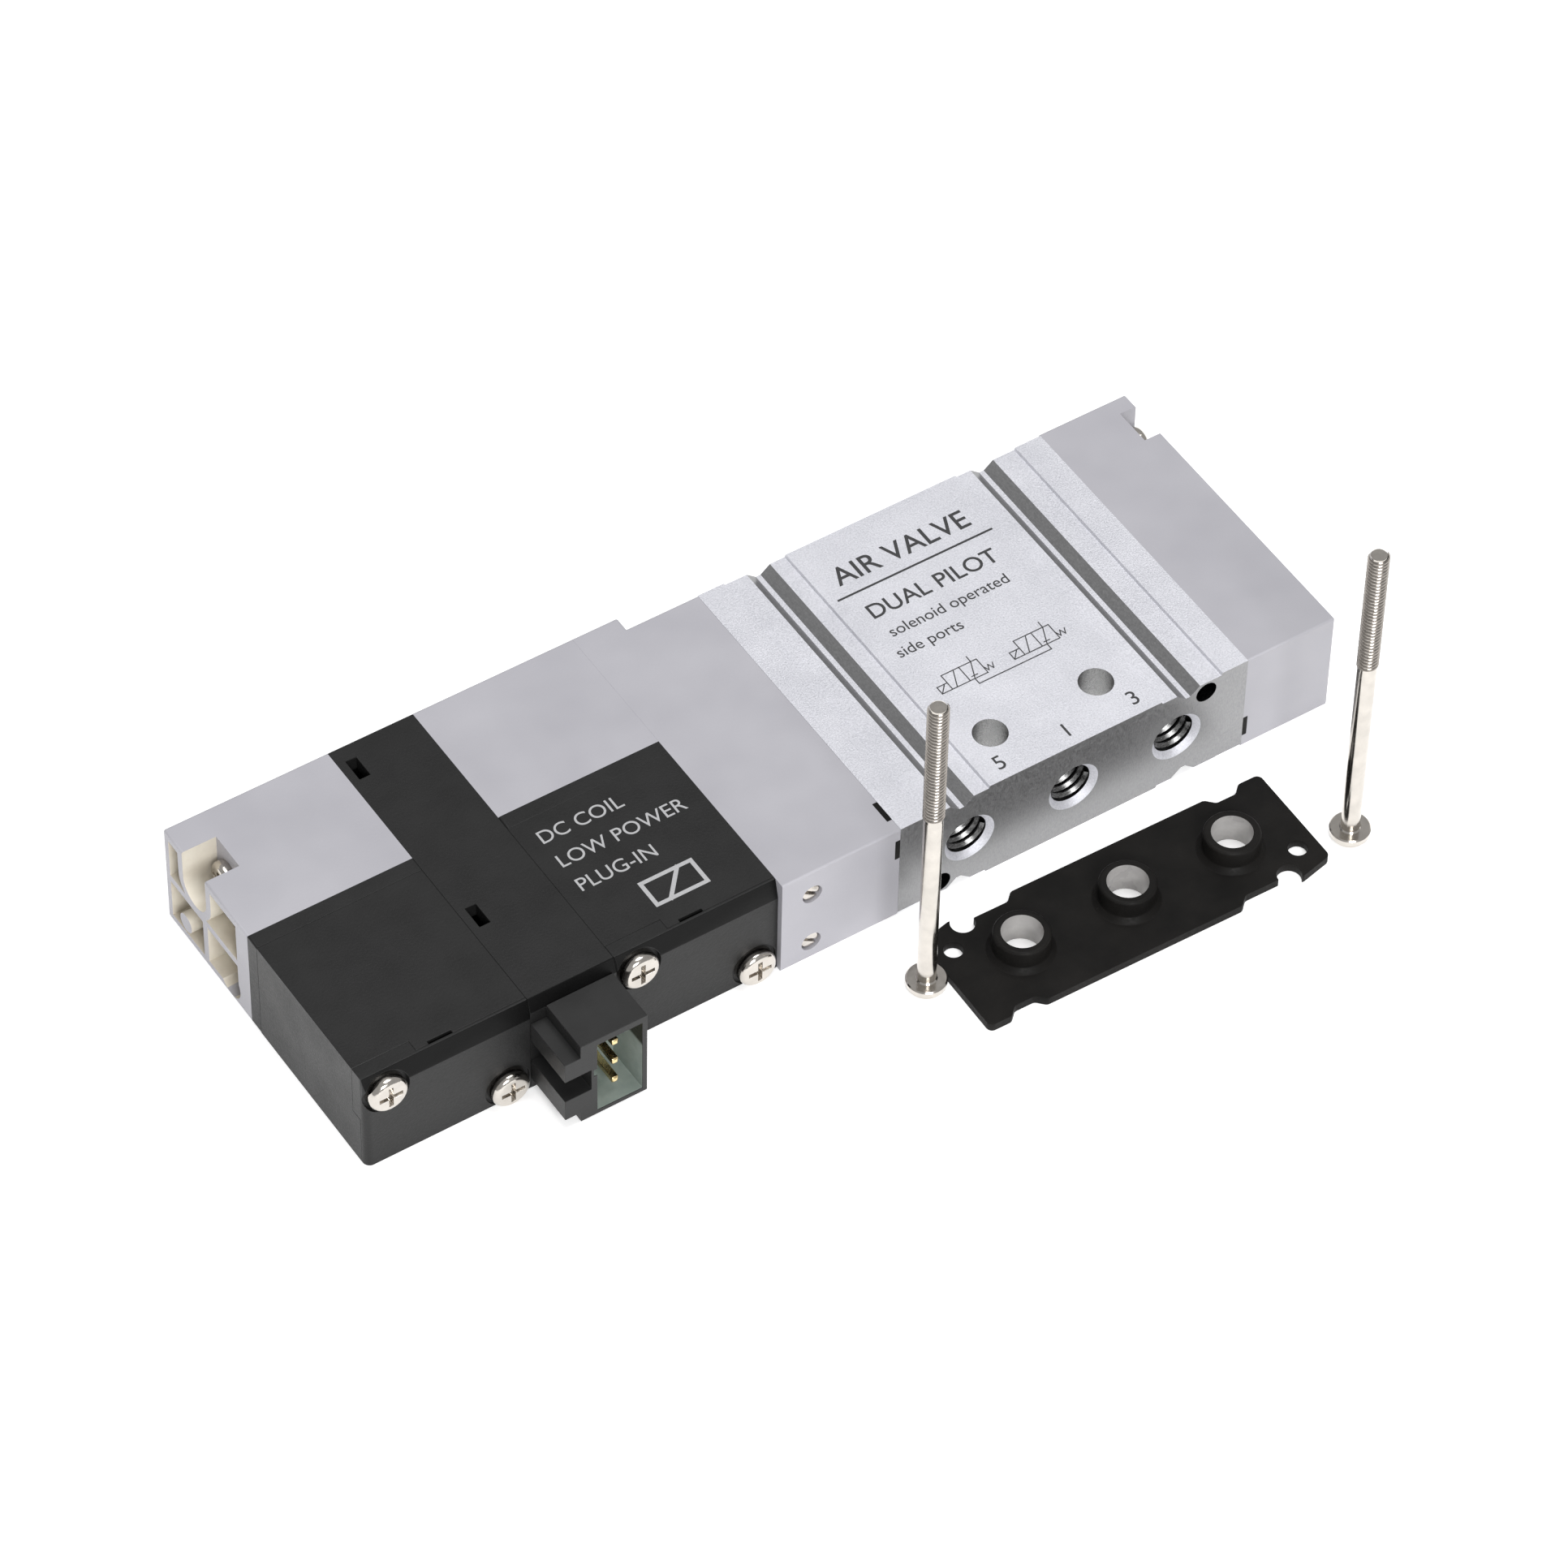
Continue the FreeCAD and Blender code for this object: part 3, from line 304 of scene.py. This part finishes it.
MATERIALS = {
    "anodised_aluminium": blasted_aluminium(),
    "bright_aluminium": turned_metal("turned_aluminium", (0.80, 0.81, 0.83, 1), 0.3),
    "grey_plastic": grey_plastic(),
    "black_plastic": BLACK,
    "socket_plastic": black_plastic("socket_plastic", 0.016, 0.38, 0.5, 0.00001),
    "white_plastic": plain_moulding("white_nylon", (0.72, 0.72, 0.68, 1),
                                    (0.82, 0.82, 0.78, 1), 0.45),
    "black_rubber": rubber(),
    "nickel_steel": NICKEL,
    "spring_steel": turned_metal("spring_wire", (0.62, 0.62, 0.64, 1), 0.3),
    "zinc_steel": turned_metal("zinc_plate", (0.66, 0.68, 0.70, 1), 0.35),
    "copper_wire": copper_winding(),
    "gold_brass": turned_metal("gold_flash", (0.86, 0.68, 0.36, 1), 0.22),
    "board_green": plain_moulding("solder_mask", (0.02, 0.12, 0.05, 1),
                                  (0.03, 0.17, 0.08, 1), 0.3),
}


# ================= modelling helpers =================
JOIN_DISTANCE = 0.002 * MM      # CAD points nearer than this are one point
FLAT_ANGLE = math.radians(1)        # facets nearer than this to level are one face
BEVEL_ANGLE = math.radians(38)      # only edges sharper than this are broken
PROFILE_JOIN = 0.001 * MM


def only(piece):
    bpy.ops.object.select_all(action="DESELECT")
    piece.select_set(True)
    bpy.context.view_layer.objects.active = piece


def apply_place(piece):
    only(piece)
    bpy.ops.object.transform_apply(location=True, rotation=True, scale=True)


def paint(piece, material):
    piece.data.materials.clear()
    piece.data.materials.append(material)


def add_modifier(piece, kind, **settings):
    only(piece)
    modifier = piece.modifiers.new(kind.lower(), kind)
    for key, value in settings.items():
        setattr(modifier, key, value)
    bpy.ops.object.modifier_apply(modifier=modifier.name)


def smooth(piece, degrees=32):
    only(piece)
    bpy.ops.object.shade_smooth_by_angle(angle=math.radians(degrees))


def flatten_shading(piece):
    """Keeps the big flat faces evenly lit beside their fine bevels."""
    add_modifier(piece, "WEIGHTED_NORMAL", mode="FACE_AREA", weight=60, keep_sharp=True)


def declare(piece, body, slot, *nodes):
    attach(piece, body)
    if nodes:
        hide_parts(*nodes)


def finished(node, bevel):
    """A copy of a CAD node with its facets joined and its edges broken by a fine bevel."""
    source = frame["nodes"][node]
    piece = source.copy()
    piece.data = source.data.copy()
    for key in list(piece.keys()):
        del piece[key]
    piece.parent = None
    piece.name = node + "_finished"
    bpy.context.scene.collection.objects.link(piece)
    only(piece)
    bpy.ops.object.mode_set(mode="EDIT")
    bpy.ops.mesh.select_all(action="SELECT")
    bpy.ops.mesh.remove_doubles(threshold=JOIN_DISTANCE)
    bpy.ops.mesh.dissolve_limited(angle_limit=FLAT_ANGLE)
    bpy.ops.object.mode_set(mode="OBJECT")
    paint(piece, MATERIALS[SLOT_OF[node]])
    add_modifier(piece, "BEVEL", width=bevel, segments=2, limit_method="ANGLE",
                 angle_limit=BEVEL_ANGLE, use_clamp_overlap=True, harden_normals=False)
    smooth(piece)
    flatten_shading(piece)
    declare(piece, BODY_OF[node], SLOT_OF[node], node)
    return piece


def second_finish(piece, material, wanted):
    """Gives the faces for which wanted(centre, normal) is true their own material."""
    piece.data.materials.append(material)
    number = len(piece.data.materials) - 1
    for face in piece.data.polygons:
        if wanted(face.center, face.normal):
            face.material_index = number


def near_axis(point, axis_point, direction, radius):
    """True for a point within radius of a line."""
    return (point - axis_point).cross(direction).length < radius


def lathe(name, profile, steps=48, lift=0.0, turns=1):
    """Turns a profile of (radius, height) points round Z; lift per turn makes it a thread."""
    mesh = bpy.data.meshes.new(name)
    points = [(r, 0, z) for r, z in profile]
    mesh.from_pydata(points, [(i, i + 1) for i in range(len(points) - 1)], [])
    piece = bpy.data.objects.new(name, mesh)
    bpy.context.scene.collection.objects.link(piece)
    add_modifier(piece, "SCREW", axis="Z", steps=steps, render_steps=steps, screw_offset=lift,
                 iterations=turns, use_merge_vertices=True, merge_threshold=PROFILE_JOIN,
                 use_normal_calculate=True)
    only(piece)
    bpy.ops.object.mode_set(mode="EDIT")
    bpy.ops.mesh.select_all(action="SELECT")
    bpy.ops.mesh.remove_doubles(threshold=PROFILE_JOIN)
    bpy.ops.mesh.normals_make_consistent(inside=False)
    bpy.ops.object.mode_set(mode="OBJECT")
    return piece


def move(piece, matrix):
    piece.data.transform(matrix)
    piece.data.update()


def joined(pieces):
    bpy.ops.object.select_all(action="DESELECT")
    for piece in pieces:
        piece.select_set(True)
    bpy.context.view_layer.objects.active = pieces[0]
    bpy.ops.object.join()
    return bpy.context.active_object


PRINT = 0.015 * MM      # thickness of the printed marks
PRINT_STEP = PRINT * 0.02       # each line lies this much over the one before


def words(name, text, size, place, material, align="CENTER", bold=0.0):
    """Raised print on an upward face, its base line at place."""
    bpy.ops.object.text_add(location=place)
    piece = bpy.context.active_object
    piece.name = name
    curve = piece.data
    curve.body = text
    curve.size = size
    curve.align_x = align
    curve.extrude = PRINT / 2
    curve.offset = bold
    curve.resolution_u = 6
    only(piece)
    bpy.ops.object.convert(target="MESH")
    piece = bpy.context.active_object
    apply_place(piece)
    paint(piece, material)
    return piece


def strokes(name, lines, z, width, material):
    """Printed straight lines between pairs of (x, y) points, all in one piece."""
    bpy.ops.object.select_all(action="DESELECT")
    for number, (start, end) in enumerate(lines):
        a, b = Vector(start), Vector(end)
        span = b - a
        middle = (a + b) / 2
        bpy.ops.mesh.primitive_cube_add(
            size=1, location=(middle.x, middle.y, z + number * PRINT_STEP),
            rotation=(0, 0, math.atan2(span.y, span.x)),
            scale=(span.length + width, width, PRINT))
        if number == 0:
            piece = bpy.context.active_object
            piece.name = name
            apply_place(piece)
            bpy.ops.object.mode_set(mode="EDIT")
    bpy.ops.object.mode_set(mode="OBJECT")
    paint(piece, material)
    return piece


# ================= casings =================
for node in ("adapter", "end_cap", "right_pilot_body", "connector_base", "left_guide_plate",
             "right_guide_plate", "left_coil_housing", "right_coil_housing", "circuit_board",
             "adapter_gasket", "end_cap_gasket", "plug_pins"):
    finished(node, 0.05 * MM)

MOUNTS = frame["record"]["mounts"]
PORTS = [mount for mount in MOUNTS if mount["kind"] == "threaded_hole"]
# each reach is a hole's radius and a little over, so that its wall falls inside
PORT_REACH = 2.13 * MM
PORT_WALL_FROM = 5 * MM     # from the valve's middle
PORT_CHAMFER_REACH = 0.3 * MM
MOUNTING_HOLE_REACH = 1.12 * MM
SIDE_HOLE_X = 5.7 * MM
SIDE_HOLE_INSET = 5.2 * MM
SIDE_HOLE_REACH = 1.68 * MM
GROOVE_FROM, GROOVE_TO = 10 * MM, 13.6 * MM     # from the valve's middle
END_FACE_DEPTH = 0.05 * MM

body = finished("valve_body", 0.05 * MM)
# front and back faces and the groove slopes: darker aluminium as painted shade
second_finish(body, MILLED_PAINTED_SHADE, lambda c, n: abs(n.y) > 0.95
              and abs(c.y) > abs(FRONT) - END_FACE_DEPTH)
second_finish(body, MILLED_PAINTED_SHADE, lambda c, n: 0.2 < abs(n.z) < 0.95 and abs(n.x) > 0.2
              and abs(n.y) < 0.1 and GROOVE_FROM < abs(c.x) < GROOVE_TO)
# the port and mounting-hole walls get near-black metal as painted shade
for port in PORTS:
    centre, inward = Vector(port["pos_m"]), Vector(port["axis"])
    second_finish(body, BORE_PAINTED_SHADE, lambda c, n: near_axis(c, centre, inward, PORT_REACH)
                  and PORT_WALL_FROM < abs(c.y) < abs(FRONT) - PORT_CHAMFER_REACH)
for mount in MOUNTS:
    if mount["name"].startswith("mounting_hole"):
        centre, inward = Vector(mount["pos_m"]), Vector(mount["axis"])
        second_finish(body, BORE_PAINTED_SHADE, lambda c, n: abs(n.y) < 0.5
                      and near_axis(c, centre, inward, MOUNTING_HOLE_REACH))
for x in (-SIDE_HOLE_X, SIDE_HOLE_X):
    centre = Vector((x, FRONT + SIDE_HOLE_INSET, 0))
    second_finish(body, REAMED, lambda c, n: abs(n.z) < 0.5
                  and near_axis(c, centre, UPRIGHT, SIDE_HOLE_REACH))

HOLLOW_DEPTH = 3.2 * MM
HOLLOW_FRONT = 4.5 * MM
HOLLOW_WALL = 0.3 * MM
left_pilot = finished("left_pilot_body", 0.06 * MM)
end_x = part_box("left_pilot_body")[0].x
pilot_back_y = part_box("left_pilot_body")[1].y
second_finish(left_pilot, HOLLOW, lambda c, n: end_x + 0.1 * MM < c.x < end_x + HOLLOW_DEPTH
              and HOLLOW_FRONT < c.y < pilot_back_y - HOLLOW_WALL
              and HOLLOW_WALL < c.z < TOP - HOLLOW_WALL)

for side in ("left", "right"):
    cover = finished(side + "_coil_cover", 0.06 * MM)
    # top-front chamfer of each coil cover: painted shade
    second_finish(cover, BAND, lambda c, n: 0.1 < n.z < 0.9 and n.y < -0.5 and c.z > TOP * 0.7)

strip = finished("connector_cover", 0.06 * MM)
# top-front chamfer of the connector strip: painted shade
second_finish(strip, BAND, lambda c, n: 0.1 < n.z < 0.97 and n.y < -0.2)

SOCKET_DEPTH = 4.9 * MM
SOCKET_LEFT = 3.1 * MM      # from the plug's left side
SOCKET_WALL = 0.3 * MM
SOCKET_ROOF = 0.6 * MM
plug = finished("plug_socket", 0.05 * MM)
plug_low, plug_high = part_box("plug_socket")
mouth_y = plug_low.y
# the socket's inside, with its painted roof shadow
second_finish(plug, SOCKET, lambda c, n: mouth_y + 0.05 * MM < c.y < mouth_y + SOCKET_DEPTH
              and plug_low.x + SOCKET_LEFT < c.x < plug_high.x - SOCKET_WALL
              and plug_low.z + SOCKET_WALL < c.z < plug_high.z - SOCKET_ROOF
              and (n.x < -0.5 or n.z > 0.5 or n.y < -0.5))

# ================= fasteners and kit =================
for node in ("coil_screws", "pilot_tie_screws", "end_cap_screws", "upper_override_button",
             "lower_override_button"):
    finished(node, 0.04 * MM)
COLLAR_PITCH = 11.2 * MM
COLLAR_REACH = 2.3 * MM     # takes in the collar's bore, not its outside
gasket = finished("mounting_gasket", 0.07 * MM)
gasket_low, gasket_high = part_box("mounting_gasket")
gasket_middle = (gasket_low + gasket_high) / 2
# the collar bores get the light grey painted reflection
for offset in (-COLLAR_PITCH, 0, COLLAR_PITCH):
    centre = Vector((gasket_middle.x + offset, gasket_middle.y, 0))
    second_finish(gasket, COLLAR, lambda c, n: abs(n.z) < 0.5
                  and near_axis(c, centre, UPRIGHT, COLLAR_REACH))

THREAD_PITCH = 0.4 * MM
THREAD_LENGTH = 14.5 * MM
THREAD_STOPS = 0.35 * MM        # short of the point
SINK = 0.02 * MM        # the ridge's feet lie this far inside the core


def long_screw(node):
    """A pan head below, a plain shank and a threaded end with a rounded point."""
    low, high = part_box(node)
    centre = (low + high) / 2
    head_r = (high.x - low.x) / 2
    head_h = 1.3 * MM
    head_rim = 0.12 * MM
    core = 0.83 * MM
    crest = 0.99 * MM
    shank = 0.88 * MM
    tip = high.z - low.z
    start = high.z - THREAD_LENGTH - low.z
    head = [(0, 0), (head_r * 0.62, 0.02 * MM), (head_r * 0.86, 0.22 * MM),
            (head_r * 0.97, 0.55 * MM), (head_r, 0.9 * MM), (head_r, head_h - head_rim),
            (head_r - head_rim, head_h), (shank + 0.12 * MM, head_h)]
    rod = [(shank, head_h + 0.15 * MM), (shank, start - 0.2 * MM), (core, start)]
    point = [(core, tip - 0.3 * MM), (core * 0.9, tip - 0.08 * MM), (core * 0.75, tip), (0, tip)]
    stem = lathe(node + "_stem", head + rod + point)
    ridge = [(core - SINK, 0), (crest, THREAD_PITCH * 0.42), (crest, THREAD_PITCH * 0.56),
             (core - SINK, THREAD_PITCH * 0.98)]
    count = int((THREAD_LENGTH - THREAD_STOPS) / THREAD_PITCH)
    thread = lathe(node + "_thread", ridge, 24, THREAD_PITCH, count)
    move(thread, Matrix.Translation((0, 0, start + 0.05 * MM)))
    smooth(stem)
    smooth(thread, 50)
    paint(stem, NICKEL)
    # the thread takes the darker nickel as painted shade
    paint(thread, SHADED_NICKEL_THREAD)
    piece = joined([stem, thread])
    piece.name = node + "_threaded"
    move(piece, Matrix.Translation((centre.x, centre.y, low.z)))
    declare(piece, BODY_OF[node], SLOT_OF[node], node)


long_screw("left_mounting_screw")
long_screw("right_mounting_screw")

# ================= threads in the ports =================
PORT_PITCH = 0.8 * MM
PORT_TURNS = 5
PORT_WALL = 2.1 * MM        # radius
PORT_ROOT = PORT_WALL + 0.04 * MM       # the ridge's feet lie inside the wall
PORT_CREST = PORT_WALL - 0.28 * MM
PORT_THREAD_INSET = 0.7 * MM


def port_threads():
    ridge = [(PORT_ROOT, 0), (PORT_CREST, PORT_PITCH * 0.4), (PORT_CREST, PORT_PITCH * 0.5),
             (PORT_ROOT, PORT_PITCH * 0.9)]
    threads = []
    for port in PORTS:
        x = port["pos_m"][0]
        outwards = math.copysign(1, port["pos_m"][1])
        thread = lathe("thread", ridge, 40, PORT_PITCH, PORT_TURNS)
        turn = Matrix.Rotation(math.radians(90 * outwards), 4, "X")
        start = Vector((x, outwards * (abs(FRONT) - PORT_THREAD_INSET), TOP / 2))
        move(thread, Matrix.Translation(start) @ turn)
        only(thread)
        bpy.ops.object.mode_set(mode="EDIT")
        bpy.ops.mesh.select_all(action="SELECT")
        bpy.ops.mesh.flip_normals()
        bpy.ops.object.mode_set(mode="OBJECT")
        smooth(thread, 40)
        threads.append(thread)
    piece = joined(threads)
    piece.name = "port_threads"
    # dark thread material: painted shade inside the ports
    paint(piece, THREAD)
    declare(piece, "valve", "anodised_aluminium")


port_threads()

# ================= printing =================
PRINT_Z = TOP + PRINT / 2
SMALL_PRINT = 1.75 * MM


def body_print():
    number_y = FRONT + 1.1 * MM
    marks = []
    for text, x in (("5", -7.0), ("1", 0.15), ("3", 7.4)):
        marks.append(words("port_number", text, 2.3 * MM, (x * MM, number_y, PRINT_Z), DARK_INK))
    marks.append(words("title", "AIR VALVE", 3.1 * MM, (0, 10.6 * MM, PRINT_Z), DARK_INK,
                       bold=0.02 * MM))
    marks.append(words("kind", "DUAL PILOT", 2.5 * MM, (0, 5.6 * MM, PRINT_Z), DARK_INK,
                       bold=0.015 * MM))
    marks.append(words("operation", "solenoid operated", SMALL_PRINT,
                       (-0.2 * MM, 2.9 * MM, PRINT_Z), DARK_INK))
    marks.append(words("ports", "side ports", SMALL_PRINT,
                       (-7.5 * MM, 0.4 * MM, PRINT_Z), DARK_INK, "LEFT"))
    rule_end = Vector((8.3 * MM, 0))
    rule_middle = Vector((0, 9.2 * MM))
    marks.append(strokes("rule", [(rule_middle - rule_end, rule_middle + rule_end)], PRINT_Z,
                         0.22 * MM, DARK_INK))
    marks.append(valve_symbol())
    piece = joined(marks)
    piece.name = "body_print"
    declare(piece, "valve", "anodised_aluminium")


def in_metres(lines):
    return [((a[0] * MM, a[1] * MM), (b[0] * MM, b[1] * MM)) for a, b in lines]


def valve_symbol():
    """Two three-port valves side by side, each with a pilot and a spring; sizes in mm."""
    box = 1.9
    base = -5.2
    top = base + box
    pilot = 1.1
    pilot_top = base + 0.9
    lead = 0.7      # length of the lines in and out
    lines = []
    for left in (-5.6, 2.2):
        mid_x = left + box
        right = left + 2 * box
        lines += [((left, base), (right, base)), ((left, top), (right, top)),
                  ((left, base), (left, top)), ((mid_x, base), (mid_x, top)),
                  ((right, base), (right, top))]
        lines += [((x + 0.5, base), (x + 1.3, top)) for x in (left, mid_x)]
        lines += [((mid_x + 0.4, base + 0.35), (mid_x + 1.0, base + 0.35))]
        lines += [((left - pilot, base), (left, base)),
                  ((left - pilot, pilot_top), (left, pilot_top)),
                  ((left - pilot, base), (left - pilot, pilot_top)),
                  ((left - pilot, base), (left - 0.3, pilot_top))]
        spring = [(right + 0.25 * i, base + (0.2 if i % 2 else 0.8)) for i in range(5)]
        lines += list(zip(spring, spring[1:]))
        lines += [((mid_x + 0.5, base - lead), (mid_x + 0.5, base)),
                  ((mid_x + 1.3, top), (mid_x + 1.3, top + lead))]
    lines += [((-3.2, base - lead), (4.6, base - lead))]
    return strokes("symbol", in_metres(lines), PRINT_Z, 0.1 * MM, DARK_INK)


def coil_print():
    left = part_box("right_coil_cover")[0].x
    marks = []
    for text, y in (("DC COIL", -1.2), ("LOW POWER", -4.4), ("PLUG-IN", -7.6)):
        marks.append(words("coil_note", text, 2.15 * MM, (left + 1.6 * MM, y * MM, PRINT_Z),
                           PALE_INK, "LEFT"))
    x = left / MM + 6.4
    low = -12.4
    wide, tall = 5.2, 2.8
    box = [(x, low), (x + wide, low), (x + wide, low + tall), (x, low + tall)]
    lines = list(zip(box, box[1:] + box[:1])) + [((x + 1.4, low), (x + 3.8, low + tall))]
    marks.append(strokes("coil_symbol", in_metres(lines), PRINT_Z, 0.4 * MM, PALE_INK))
    piece = joined(marks)
    piece.name = "coil_print"
    declare(piece, "valve", "black_plastic")


body_print()
coil_print()

# ================= pieces kept as they are =================
for node, slot in SLOT_OF.items():
    cad = frame["nodes"][node]
    if not cad.hide_render:
        paint(cad, MATERIALS[slot])

# ================= stage, light and camera =================
bpy.ops.mesh.primitive_grid_add(x_subdivisions=2, y_subdivisions=2, size=6, location=(0, 0, 0))
floor = bpy.context.active_object
floor.name = "floor"
floor_shader = Shader("pale_floor")
floor_cloud = floor_shader.spread(floor_shader.noise(0.3), 0, 1)
floor_tone = floor_shader.mix(floor_cloud, grey(0.93), grey(0.95))
# a slight glow keeps the floor white
paint(floor, floor_shader.surface(Base_Color=floor_tone, Roughness=0.7,
                                  Emission_Color=grey(1.0), Emission_Strength=0.3))

world = bpy.data.worlds.new("studio")
world.use_nodes = True
world.node_tree.nodes["Background"].inputs["Color"].default_value = (1, 1, 1, 1)
world.node_tree.nodes["Background"].inputs["Strength"].default_value = 0.45
bpy.context.scene.world = world
bpy.context.scene.view_settings.view_transform = "Standard"


def soft_light(name, place, aim, size, power):
    bpy.ops.object.light_add(type="AREA", location=place)
    light = bpy.context.active_object
    light.name = name
    light.data.size = size
    light.data.energy = power
    light.rotation_euler = (Vector(aim) - Vector(place)).to_track_quat("-Z", "Y").to_euler()


soft_light("key", (-0.25, -0.75, 0.55), (0, 0, 0), 0.35, 6.5)
soft_light("top", (0.10, 0.05, 0.90), (0, 0, 0), 0.5, 4.4)

AZIMUTH = math.radians(34.09)
ELEVATION = math.radians(48.70)
ROLL = math.radians(1.31)
DISTANCE = 690.2 * MM
TARGET = Vector((-18.8, 1.8, 0)) * MM
SENSOR = 36     # mm, as Blender counts it
LENS = 175.761      # mm
NEAREST = 10 * MM

forward = Vector((math.sin(AZIMUTH) * math.cos(ELEVATION),
                  math.cos(AZIMUTH) * math.cos(ELEVATION), -math.sin(ELEVATION)))
level = Vector((math.cos(AZIMUTH), -math.sin(AZIMUTH), 0))
upright = level.cross(forward)
right = level * math.cos(ROLL) + upright * math.sin(ROLL)
up = upright * math.cos(ROLL) - level * math.sin(ROLL)
bpy.ops.object.camera_add()
camera = bpy.context.active_object
turned = Matrix((right, up, -forward)).transposed().to_4x4()
camera.matrix_world = Matrix.Translation(TARGET - forward * DISTANCE) @ turned
camera.data.sensor_width = SENSOR
camera.data.lens = LENS
camera.data.clip_start = NEAREST
bpy.context.scene.camera = camera
